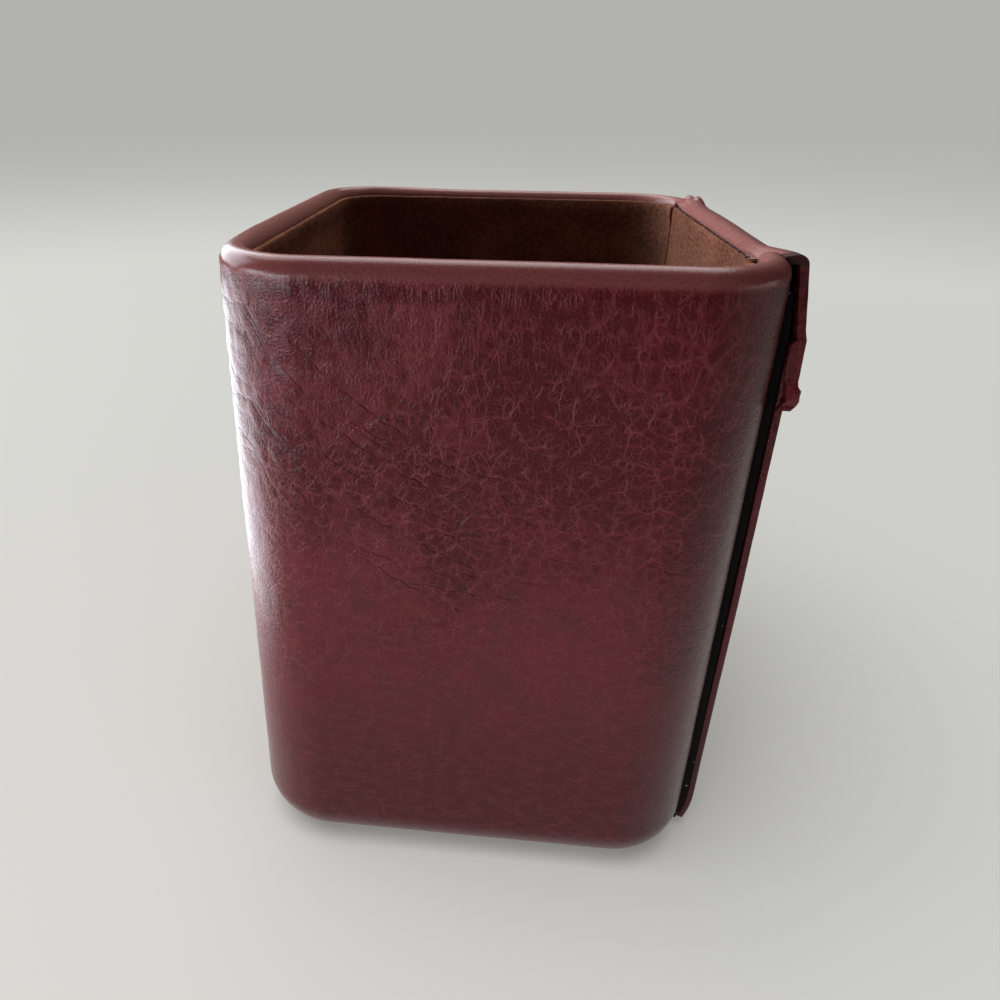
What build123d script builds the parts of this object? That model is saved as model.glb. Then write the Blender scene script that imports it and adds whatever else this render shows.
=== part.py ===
from build123d import *
import os
from math import atan, pi, sqrt, tan

# A leather-covered pencil cup. A moulded tub is open on one side and covered in one skin of leather,
# which is rolled over the rim and turned under the foot. A flat panel closes the open side, and a
# leather-faced strip with a leather saddle over its top hides the two joins.
# X is the width, with the closed side at +X. Y is the depth, with the front at -Y. Z = 0 is the table.

# Outside of the cup, over the leather
body_width = 78.0
body_depth = 89.5
height = 105.0
corner_radius = 14.0
bottom_radius = 8.0
rim_radius = 2.4
rim_flat = 0.2

# Layers of the wall and floor
leather_thickness = 1.2
core_thickness = 2.7
lining_thickness = 0.9
floor_thickness = 3.5
glue_line = 0.05

# Leather turned over the rim into the tub's rebate, and turned under the foot
hem_thickness = 0.6
hem_depth = 12.0
core_edge_radius = 0.6
turn_under = 15.0

# Felt pad that the cup stands on
pad_proud = 0.5
pad_corner_radius = 5.0
pad_clearance = 0.3

# Suede lining: how far its folded edge lies below the rim, and the slit beside the panel's lining
lining_drop = 1.3
lining_edge_radius = 0.35
lining_slit = 0.4

# Open side of the tub and the panel that closes it
panel_land = 0.75
sill_land = 0.5
panel_clearance = 0.15

# Strip over the joins: dark board, leather facing, and the bend that follows the rounded foot
strip_lap = 3.0
board_thickness = 1.2
board_tip = 0.5
facing_thickness = 1.15
facing_drop = 11.5
strip_foot = 2.0
foot_bend = 16.0

# Leather saddle over the panel's top, down over the facing's top edge and wrapped round its sides
saddle_thickness = 1.2
saddle_proud = 0.1
saddle_shoulder = 4.5
saddle_drop = 21.0
saddle_clearance = 0.3
saddle_bend = 0.8
step_run = 1.5
skive_land = 0.6
wrap_thickness = 0.6

# Places that follow from the sizes above
half_width = body_width / 2
half_depth = body_depth / 2
base_z = pad_proud
floor_z = base_z + leather_thickness + glue_line + floor_thickness
floor_lining_z = floor_z + glue_line + lining_thickness
wall_inset = leather_thickness + core_thickness
lining_inset = wall_inset + lining_thickness
rim_inner_radius = wall_inset - rim_radius - rim_flat
opening_half = half_depth - corner_radius - panel_land
sill_z = base_z + bottom_radius + sill_land

board_in_x = half_width + glue_line
board_out_x = board_in_x + board_thickness
facing_in_x = board_out_x + glue_line
facing_out_x = facing_in_x + facing_thickness
bend_x = board_in_x - foot_bend
bend_z = base_z + bottom_radius
strip_half = opening_half + strip_lap

saddle_top_z = height + saddle_proud
saddle_under_z = saddle_top_z - saddle_thickness
leg_in_x = board_out_x + glue_line
leg_out_x = leg_in_x + saddle_thickness
end_in_x = facing_out_x + glue_line
end_out_x = end_in_x + saddle_thickness
shoulder_z = saddle_top_z - saddle_shoulder
saddle_end_z = height - saddle_drop
facing_top_z = height - facing_drop
step_low_z = facing_top_z + glue_line
step_high_z = step_low_z + step_run
skive_z = step_high_z + skive_land
skive_slope = (board_thickness - board_tip) / (shoulder_z - skive_z)
inner_shoulder = saddle_shoulder - saddle_thickness
crown_run = inner_shoulder * tan(pi / 4 - atan(skive_slope) / 2)
crown_x = leg_in_x - skive_slope * (saddle_under_z - skive_z) - crown_run
panel_top_z = saddle_under_z - glue_line
panel_round = half_width - crown_x
saddle_half = opening_half - saddle_clearance
wrap_half = strip_half + glue_line
leg_half = wrap_half + wrap_thickness


def upright(inset, bottom, top):
    """Upright block on the cup's plan, drawn in by inset."""
    plan = RectangleRounded(body_width - 2 * inset, body_depth - 2 * inset, corner_radius - inset)
    return Pos(0, 0, bottom) * extrude(plan, top - bottom)


def pad_block(inset, bottom, top):
    """Upright block on the plan of the foot's recess, drawn in by inset."""
    margin = turn_under + inset
    plan = RectangleRounded(body_width - 2 * margin, body_depth - 2 * margin, pad_corner_radius - inset)
    return Pos(0, 0, bottom) * extrude(plan, top - bottom)


def body_form(inset):
    """The covered body's outside, drawn in by inset, with its rounded foot and rim."""
    form = upright(inset, base_z + inset, height - inset)
    form = fillet(form.faces().sort_by(Axis.Z)[0].edges(), bottom_radius - inset)
    return fillet(form.faces().sort_by(Axis.Z)[-1].edges(), rim_radius - inset)


def right_side(half, bottom):
    """Block that clears the +X side between -half and half, from bottom up past the rim."""
    top = height + body_width
    block = Box(body_width, 2 * half, top - bottom, align=(Align.MIN, Align.CENTER, Align.MIN))
    return Pos(0, 0, bottom) * block


def mouth_edges(form):
    """Edges round the inside of the top face."""
    return form.faces().sort_by(Axis.Z)[-1].inner_wires().edges()


def section_between(outer, inner):
    """Face between two open lines that run the same way, in the XZ plane."""
    start = Line(inner @ 0, outer @ 0)
    end = Line(outer @ 1, inner @ 1)
    return make_face([start, *outer.edges(), end, *inner.edges()])


def across(face, half):
    """Solid that runs from -half to half along Y, from a face drawn in X and Z."""
    return extrude(Plane.XZ * face, half, both=True)


def tub_core():
    """Moulded fibreboard tub: three walls, four round corners, a floor and a low sill at the open side."""
    core = body_form(leather_thickness + glue_line)
    core -= upright(wall_inset, floor_z, height)
    core -= upright(wall_inset - hem_thickness - glue_line, height - hem_depth - glue_line, height)
    core = fillet(mouth_edges(core), core_edge_radius)
    return core - right_side(opening_half, sill_z)


def outer_leather():
    """One skin of leather: foot turn-under, walls, rolled rim and the thin hem inside the rim."""
    skin = body_form(0) - body_form(leather_thickness)
    skin -= upright(wall_inset, height - 2 * leather_thickness, height)
    hem_foot = height - hem_depth
    hem = upright(wall_inset - hem_thickness, hem_foot, height - leather_thickness)
    hem -= upright(wall_inset, hem_foot, height)
    skin = fillet(mouth_edges(skin + hem), rim_inner_radius)
    skin -= pad_block(0, 0, base_z + leather_thickness)
    return skin - right_side(opening_half, sill_z)


def base_pad():
    """Felt pad in the recess that the turned-under leather leaves; the cup stands on it."""
    return pad_block(pad_clearance, 0, base_z + leather_thickness)


def floor_lining():
    """Suede on the floor of the cup."""
    return upright(wall_inset + glue_line, floor_z + glue_line, floor_lining_z)


def wall_lining():
    """Suede round the three walls, over the hem, with a folded top edge."""
    foot = floor_lining_z + glue_line
    lining = upright(wall_inset + glue_line, foot, height - lining_drop)
    lining -= upright(lining_inset, foot, height)
    lining = fillet(lining.faces().sort_by(Axis.Z)[-1].edges(), lining_edge_radius)
    return lining - right_side(opening_half + lining_slit, 0)


def closing_panel():
    """Flat board that stands on the sill and closes the open side."""
    depth = 2 * (opening_half - panel_clearance)
    foot = sill_z + glue_line
    panel = Box(wall_inset, depth, panel_top_z - foot, align=(Align.MAX, Align.CENTER, Align.MIN))
    panel = Pos(half_width, 0, foot) * panel
    outer_top = panel.edges().filter_by(Axis.Y).group_by(Axis.Z)[-1].sort_by(Axis.X)[-1]
    return fillet(outer_top, panel_round)


def panel_lining():
    """Suede on the panel's inside, from the floor to under the saddle."""
    foot = floor_lining_z + glue_line
    lining = Box(
        lining_thickness - glue_line,
        2 * opening_half,
        panel_top_z - foot,
        align=(Align.MIN, Align.CENTER, Align.MIN),
    )
    return Pos(half_width - lining_inset, 0, foot) * lining


def strip_line(x, *tops):
    """Line from the top points down the body's side at x, bending in under the rounded foot."""
    radius = x - bend_x
    drop = bend_z - strip_foot
    straight = Polyline(*tops, (x, bend_z))
    reach = sqrt(radius**2 - drop**2)
    half_drop = drop / 2
    middle = (bend_x + sqrt(radius**2 - half_drop**2), bend_z - half_drop)
    bend = ThreePointArc((x, bend_z), middle, (bend_x + reach, strip_foot))
    return Wire([*straight.edges(), *bend.edges()])


def seam_board():
    """Dark board over the joins, glued to panel and tub, and skived thin towards its top."""
    outer = strip_line(board_out_x, (board_in_x + board_tip, shoulder_z), (board_out_x, skive_z))
    inner = strip_line(board_in_x, (board_in_x, shoulder_z))
    return across(section_between(outer, inner), strip_half)


def seam_facing():
    """Leather facing on the board, with its top edge under the saddle."""
    outer = strip_line(facing_out_x, (facing_out_x, facing_top_z))
    inner = strip_line(facing_in_x, (facing_in_x, facing_top_z))
    return across(section_between(outer, inner), strip_half)


def saddle_line(leg_x, end_x, top, shoulder):
    """Line over the panel's top, round the shoulder, down the skived board and out over the facing."""
    shoulder_corner_x = leg_x - skive_slope * (top - skive_z)
    corners = [
        (half_width - lining_inset, top),
        (shoulder_corner_x, top),
        (leg_x, skive_z),
        (leg_x, step_high_z),
        (end_x, step_low_z),
        (end_x, saddle_end_z),
    ]
    return FilletPolyline(*corners, radius=[shoulder, saddle_bend, saddle_bend, saddle_bend])


def saddle():
    """Leather saddle: as narrow as the opening on top, as wide as the strip outside, wrapped round it."""
    outer = saddle_line(leg_out_x, end_out_x, saddle_top_z, saddle_shoulder)
    inner = saddle_line(leg_in_x, end_in_x, saddle_under_z, inner_shoulder)
    section = section_between(outer, inner)
    aside = Box(body_width, 2 * leg_half, body_depth, align=(Align.MIN, Align.CENTER, Align.MIN))
    leg = across(section, leg_half) & (Pos(board_in_x, 0, saddle_end_z) * aside)
    wrap_size = (end_in_x - facing_in_x, wrap_thickness, facing_top_z - saddle_end_z)
    wrap = Box(*wrap_size, align=(Align.MIN, Align.MIN, Align.MIN))
    front_wrap = Pos(facing_in_x, -leg_half, saddle_end_z) * wrap
    back_wrap = Pos(facing_in_x, wrap_half, saddle_end_z) * wrap
    return across(section, saddle_half) + leg + front_wrap + back_wrap


PIECES = {
    "tub_core": tub_core,
    "outer_leather": outer_leather,
    "base_pad": base_pad,
    "floor_lining": floor_lining,
    "wall_lining": wall_lining,
    "closing_panel": closing_panel,
    "panel_lining": panel_lining,
    "seam_board": seam_board,
    "seam_facing": seam_facing,
    "saddle": saddle,
}

os.makedirs("parts", exist_ok=True)
for name, make in PIECES.items():
    piece = make()
    piece.label = name
    export_step(piece, f"parts/{name}.step")
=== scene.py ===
"""Dresses a pencil cup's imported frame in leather, suede, board and felt, and sets it on a pale table."""

import math
from functools import partial

import bmesh
import bpy
from mathutils import Matrix, Vector, noise


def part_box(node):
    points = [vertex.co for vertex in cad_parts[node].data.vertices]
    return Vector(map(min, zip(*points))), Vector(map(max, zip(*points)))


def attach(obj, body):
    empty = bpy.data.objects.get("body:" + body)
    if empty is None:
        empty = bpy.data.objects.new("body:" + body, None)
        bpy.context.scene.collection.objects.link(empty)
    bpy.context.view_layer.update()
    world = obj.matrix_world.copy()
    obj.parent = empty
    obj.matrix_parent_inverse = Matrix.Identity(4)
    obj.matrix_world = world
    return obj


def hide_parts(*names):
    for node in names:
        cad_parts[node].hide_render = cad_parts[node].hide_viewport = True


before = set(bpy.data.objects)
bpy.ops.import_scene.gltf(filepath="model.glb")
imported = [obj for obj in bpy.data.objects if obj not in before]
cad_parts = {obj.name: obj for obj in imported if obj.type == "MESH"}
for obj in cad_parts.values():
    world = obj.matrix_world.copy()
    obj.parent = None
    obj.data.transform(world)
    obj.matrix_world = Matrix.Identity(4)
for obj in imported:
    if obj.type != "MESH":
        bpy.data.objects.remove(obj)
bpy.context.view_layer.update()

bl_info = {
    "name": "Leather Pencil Cup",
    "version": (1, 0, 0),
    "blender": (4, 5, 0),
    "location": "View3D > Sidebar > Pencil Cup",
    "description": "Covers the frame of a pencil cup in leather, suede, board and felt",
    "category": "Object",
}

MM = 0.001
TINY = 0.02 * MM
SKIN_LOW, SKIN_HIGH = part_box("outer_leather")

# Node kinds and settings that the finishes use over and over
MATH = "ShaderNodeMath"
VECTOR = "ShaderNodeVectorMath"
RANGE = "ShaderNodeMapRange"
NOISE = "ShaderNodeTexNoise"
CELLS = "ShaderNodeTexVoronoi"
COMBINE = "ShaderNodeCombineXYZ"
MIX = "ShaderNodeMix"
BUMP = "ShaderNodeBump"
COORD = "ShaderNodeTexCoord"
PRINCIPLED = "ShaderNodeBsdfPrincipled"
OUTPUT = "ShaderNodeOutputMaterial"
TIMES = {"operation": "MULTIPLY"}
TIMES_PLUS = {"operation": "MULTIPLY_ADD"}
SOFT = {"interpolation_type": "SMOOTHSTEP"}
FLAT = {"noise_dimensions": "2D"}
BORDERS = {"voronoi_dimensions": "2D", "feature": "DISTANCE_TO_EDGE"}
BLEND = {"data_type": "RGBA"}

# Leather's grain on the flat sheet, in millimetres: cells across, lines apart and long, patches and pores
COARSE_CELL = 4.0
MEDIUM_CELL = 1.8
SMALL_CELL = 0.85
STREAK_GAP = 1.0
WRINKLE_GAP = 1.4
LINE_RUN = 9.0
CREASE_GAP = 4.4
CREASE_RUN = 22.0
PATCH = 24.0
SWELL = 9.0
PORE = 0.4

# Heights on the flat sheet, in millimetres: start and full of the rolled rim, the groove under it, and the
# middle of the band of painted shade under the rim
RIM_START = 101.9
RIM_FULL = 103.3
GROOVE = 102.2
UNDER_RIM_SHADE = 100.9

# Stage lamps, in metres and watts: name, place, target, width and height, power, colour and what is lit
WHITE = (1.0, 1.0, 1.0)
COOL = (0.84, 0.92, 1.0)
WARM = (1.0, 0.82, 0.72)
CUP_MIDDLE = (0, 0, 0.05)
LAMPS = (
    ("softbox", (-0.10, 0.50, 0.75), (-0.10, 0.50, 0), (0.9, 0.8), 8.5, WHITE, "kept_dark"),
    ("window", (-0.36, 0.18, 0.25), (0, 0, 0.10), (0.5, 0.3), 2.6, COOL, "kept_dark"),
    ("bounce_card", (-0.35, 0.14, 0.001), (-0.35, 0.14, 1), (0.5, 0.4), 2.8, COOL, "kept_dark"),
    ("left_fill", (-0.75, -0.62, 0.08), CUP_MIDDLE, (1.1, 0.14), 9.6, COOL, "kept_dark"),
    ("right_fill", (0.95, -0.20, 0.08), CUP_MIDDLE, (0.9, 0.14), 1.0, WARM, "kept_dark"),
    ("table_lamp", (-0.22, -0.15, 0.9), (0, 0, 0), (0.9, 0.9), 9.5, WHITE, "table_only"),
)


def linear(code):
    """Linear colour of an sRGB hex value."""
    parts = [int(code[i : i + 2], 16) / 255 for i in (1, 3, 5)]
    return [p / 12.92 if p <= 0.04045 else ((p + 0.055) / 1.055) ** 2.4 for p in parts]


def length(name, description, millimetres):
    """Length property with its default given in millimetres."""
    return bpy.props.FloatProperty(
        name=name, description=description, default=millimetres * MM, min=0.0, precision=5, unit="LENGTH"
    )


def colour(name, description, code):
    """Colour property with its default given as an sRGB hex value."""
    return bpy.props.FloatVectorProperty(
        name=name, description=description, default=linear(code), min=0.0, max=1.0, subtype="COLOR"
    )


class CupSizes(bpy.types.PropertyGroup):
    """Sizes of the leather, suede and felt."""

    corner_radius: length("Corner radius", "Round of the cup's upright corners, over the leather", 14.0)
    foot_radius: length("Foot radius", "Round of the edge where the wall turns under the foot", 8.0)
    rim_radius: length("Rim radius", "Outer round of the rolled rim", 2.4)
    rim_inner_radius: length("Rim inner radius", "Inner round of the rolled rim", 1.3)
    rim_width: length("Rim width", "From the outside of the wall to the hem inside the mouth", 3.9)
    hem_depth: length("Hem depth", "How far the leather reaches down inside the mouth", 12.0)
    turn_under: length("Turn-under", "How far the leather is turned in under the foot", 15.0)
    leather: length("Leather", "Thickness of the leather", 1.15)
    opening_half: length("Half opening", "Half of the gap in the skin at the closed side", 30.0)
    sill: length("Sill", "Height of the skin below the closed side", 9.0)
    suede: length("Suede", "Thickness of the suede lining", 0.85)
    lining_inset: length("Lining inset", "From the outside of the wall to the face of the suede", 4.8)
    lining_slit: length("Lining slit", "Slit between the suede of the wall and of the closed side", 0.4)
    fold: length("Fold", "Round of the folded top edge of the suede", 0.35)
    strip_bend: length("Strip bend", "Round with which the strip's foot follows the body", 18.4)
    saddle_shoulder: length("Saddle shoulder", "Round of the saddle where it turns down outside", 4.5)
    saddle_half: length("Half saddle", "Half of the saddle's length on top, between the rim's ends", 29.7)
    mesh_step: length("Mesh step", "Spacing of the mesh that carries the leather's relief", 0.65)


class CupColours(bpy.types.PropertyGroup):
    """Colours of the finishes."""

    # The deep dye also serves as painted shade towards the foot and in a band under the rim
    leather_deep_and_shade: colour("Leather, deep", "Dye pooled inside the cells of the grain", "#48050b")
    leather_mid: colour("Leather, mid", "Burgundy dye of the smooth parts", "#6d222c")
    leather_warm: colour("Leather, warm", "Browner drifts of the dye", "#6c2829")
    leather_worn: colour("Leather, worn", "Rubbed dye on the rolled rim and bends", "#743e3b")
    leather_rubbed: colour("Leather, rubbed", "Palest dye, on top of the rim and saddle", "#9a645e")
    leather_vein: colour("Leather, vein", "Paler dye along the lines of the grain", "#84393e")
    leather_blotch: colour("Leather, blotch", "Browner blotches of the smooth parts", "#4c2424")
    # The crease colour is painted shade in the leather's creases
    crease_shade: colour("Leather, crease", "Dye that gathers in the creases", "#33070d")
    # The dark edge colour also serves as painted shade on the saddle
    edge_dye_and_shade: colour("Edge, dark", "Hand dye on the leather's cut edges", "#2a1415")
    edge_pale: colour("Edge, pale", "Fibres that show through the edge dye", "#55302d")
    suede_brown: colour("Suede", "Brown suede with its nap laid", "#94624f")
    suede_dark: colour("Suede, dark", "Brown suede with its nap raised", "#553629")
    suede_sheen: colour("Suede, sheen", "Nap seen at a glancing angle", "#b07a55")
    board_deep: colour("Board, deep", "Deepest layers of the strip's board", "#0a0606")
    board: colour("Board", "Black-dyed board of the strip", "#120c0c")
    glue: colour("Glue", "Specks of dried glue on the board's edge", "#a89a94")
    fibre_dark: colour("Fibreboard, dark", "Darker flecks of the fibreboard", "#4f3f28")
    fibre: colour("Fibreboard", "Moulded fibreboard of the tub and panel", "#75603f")
    felt: colour("Felt", "Dark felt under the foot", "#2c211e")
    felt_pale: colour("Felt, pale", "Paler hairs in the felt", "#5d4c44")
    table: colour("Table", "Pale painted table and the room round it", "#bcbcb8")


def add_node(tree, kind, inputs=(), output=0, **settings):
    """Add a node with its settings, set or link its inputs, named or in order, and return one output."""
    node = tree.nodes.new(kind)
    for name, value in settings.items():
        setattr(node, name, value)
    for name, value in inputs.items() if isinstance(inputs, dict) else enumerate(inputs):
        if isinstance(value, bpy.types.NodeSocket):
            tree.links.new(value, node.inputs[name])
        else:
            node.inputs[name].default_value = value
    return node.outputs[output] if node.outputs else None


def new_material(name):
    """Empty node material, and add_node for its tree."""
    material = bpy.data.materials.new(name)
    material.use_nodes = True
    material.node_tree.nodes.clear()
    return material, partial(add_node, material.node_tree)


def opaque(value):
    """Colour with full alpha, for a colour socket."""
    return (*value, 1.0)


def start_block(name, low, high):
    """Add a block that fills low to high, and open it in edit mode."""
    bpy.ops.object.select_all(action="DESELECT")
    bpy.ops.mesh.primitive_cube_add(size=1, location=(low + high) / 2, scale=high - low)
    bpy.ops.object.transform_apply(location=True, rotation=True, scale=True)
    piece = bpy.context.object
    piece.name = name
    piece.data.name = name
    bpy.ops.object.mode_set(mode="EDIT")
    return piece


def start_edge(name, x, z, half, columns):
    """Add one edge along Y at x and z, cut into columns, and open it in edit mode."""
    bpy.ops.object.select_all(action="DESELECT")
    bpy.ops.mesh.primitive_plane_add(size=2 * half, location=(x - half, 0, z))
    bpy.ops.object.transform_apply(location=True, rotation=True, scale=True)
    piece = bpy.context.object
    piece.name = name
    piece.data.name = name
    bpy.ops.object.mode_set(mode="EDIT")
    choose(piece, "VERT", lambda vert: vert.co.x < x - half)
    bpy.ops.mesh.delete(type="VERT")
    bpy.ops.mesh.select_mode(type="EDGE")
    bpy.ops.mesh.select_all(action="SELECT")
    bpy.ops.mesh.subdivide(number_cuts=columns - 1)
    return piece


def choose(piece, part, test):
    """Select, in edit mode, the corners, edges or faces that pass the test."""
    bpy.ops.mesh.select_mode(type=part)
    bpy.ops.mesh.select_all(action="DESELECT")
    mesh = bmesh.from_edit_mesh(piece.data)
    items = {"VERT": mesh.verts, "EDGE": mesh.edges, "FACE": mesh.faces}[part]
    for item in items:
        if test(item):
            item.select_set(True)
    mesh.select_flush_mode()
    bmesh.update_edit_mesh(piece.data)


def extrude_by(step):
    """Extrude what is selected by a step."""
    bpy.ops.mesh.extrude_region_move(TRANSFORM_OT_translate={"value": step})


def draw_section(points):
    """Extrude the selected edge row through the points (x, z) of a section, from the first one."""
    for here, there in zip(points, points[1:]):
        extrude_by((there[0] - here[0], 0, there[1] - here[1]))


def face_out(piece):
    """Turn the faces of an open sheet on the closed side outwards, to +X or +Z."""
    bpy.ops.mesh.select_all(action="SELECT")
    bpy.ops.mesh.normals_make_consistent(inside=False)
    mesh = bmesh.from_edit_mesh(piece.data)
    outward = sum((face.normal.x + face.normal.z) * face.calc_area() for face in mesh.faces)
    if outward < 0:
        bpy.ops.mesh.flip_normals()


def slice_grid(low, high, step, axes):
    """Cut the whole mesh in planes about a step apart along each axis."""
    for axis in axes:
        normal = Vector((axis == 0, axis == 1, axis == 2))
        parts = max(1, round((high[axis] - low[axis]) / step))
        for i in range(1, parts):
            bpy.ops.mesh.select_all(action="SELECT")
            bpy.ops.mesh.bisect(plane_co=low.lerp(high, i / parts), plane_no=normal)


def smooth_step(value, start, end):
    """0 at start, 1 at end, with a soft change between."""
    part = min(1.0, max(0.0, (value - start) / (end - start)))
    return part * part * (3 - 2 * part)


def apply_modifier(piece, kind, **settings):
    """Add a modifier with its settings and apply it."""
    modifier = piece.modifiers.new(kind.lower(), kind)
    for name, value in settings.items():
        setattr(modifier, name, value)
    bpy.ops.object.modifier_apply(modifier=modifier.name)


def roughen(piece, size, depth):
    """Make a soft piece uneven, with lumps of that size and depth."""
    texture = bpy.data.textures.new("soft_lumps", "CLOUDS")
    texture.noise_scale = size
    apply_modifier(piece, "DISPLACE", texture=texture, strength=depth, texture_coords="LOCAL")
    bpy.data.textures.remove(texture)


def edge_run(edge, axis):
    """How far an edge runs along an axis."""
    return abs(edge.verts[0].co[axis] - edge.verts[1].co[axis])


def rounded_line(corners, radii, steps):
    """Points of a line through corners (x, z), with each inner corner rounded to its radius."""
    points = [Vector(corners[0])]
    for before, corner, after, radius in zip(corners, corners[1:], corners[2:], radii):
        corner = Vector(corner)
        back = (Vector(before) - corner).normalized()
        ahead = (Vector(after) - corner).normalized()
        half_angle = back.angle(ahead) / 2
        reach = radius / math.tan(half_angle)
        centre = corner + (back + ahead).normalized() * radius / math.sin(half_angle)
        start = corner + back * reach - centre
        end = corner + ahead * reach - centre
        points += [centre + start.slerp(end, i / steps) * radius for i in range(steps + 1)]
    return points + [Vector(corners[-1])]


def plan_place(x, y, sizes):
    """Length along the cup's outline from the middle of the front, and depth in from the outline."""
    radius = sizes.corner_radius
    straight_x = SKIN_HIGH.x - radius
    straight_y = SKIN_HIGH.y - radius
    quarter = radius * math.pi / 2
    over_x = abs(x) - straight_x
    over_y = abs(y) - straight_y
    if over_x > 0 and over_y > 0:
        run = straight_x + radius * math.atan2(over_x, over_y)
        depth = radius - math.hypot(over_x, over_y)
    elif over_x > over_y:
        run = straight_x + quarter - over_y
        depth = radius - over_x
    else:
        run = abs(x)
        depth = radius - over_y
    half_loop = 2 * (straight_x + quarter + straight_y)
    if y <= 0:
        return math.copysign(run, x), depth
    if x < 0:
        return run - half_loop, depth
    return -run - half_loop, depth


def skin_height(depth, z, sizes):
    """Height along the skin: up the wall and over the rim, or down round the foot."""
    roll_z = SKIN_HIGH.z - sizes.rim_radius
    foot_z = SKIN_LOW.z + sizes.foot_radius
    quarter = math.pi / 2
    if z > foot_z and depth > sizes.rim_radius:
        return roll_z + sizes.rim_radius * quarter + depth - sizes.rim_radius + SKIN_HIGH.z - z
    if z > roll_z:
        return roll_z + sizes.rim_radius * math.atan2(z - roll_z, sizes.rim_radius - depth)
    if z >= foot_z:
        return z
    if depth < sizes.foot_radius:
        return foot_z - sizes.foot_radius * math.atan2(foot_z - z, sizes.foot_radius - depth)
    return foot_z - sizes.foot_radius * quarter - depth + sizes.foot_radius


def map_sheet(piece, place):
    """Keep on each corner its place on the flat sheet, in millimetres, for the grain to follow."""
    places = piece.data.attributes.new("sheet_place", "FLOAT_VECTOR", "POINT")
    for vert, entry in zip(piece.data.vertices, places.data):
        entry.vector = place(vert.co)


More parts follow.
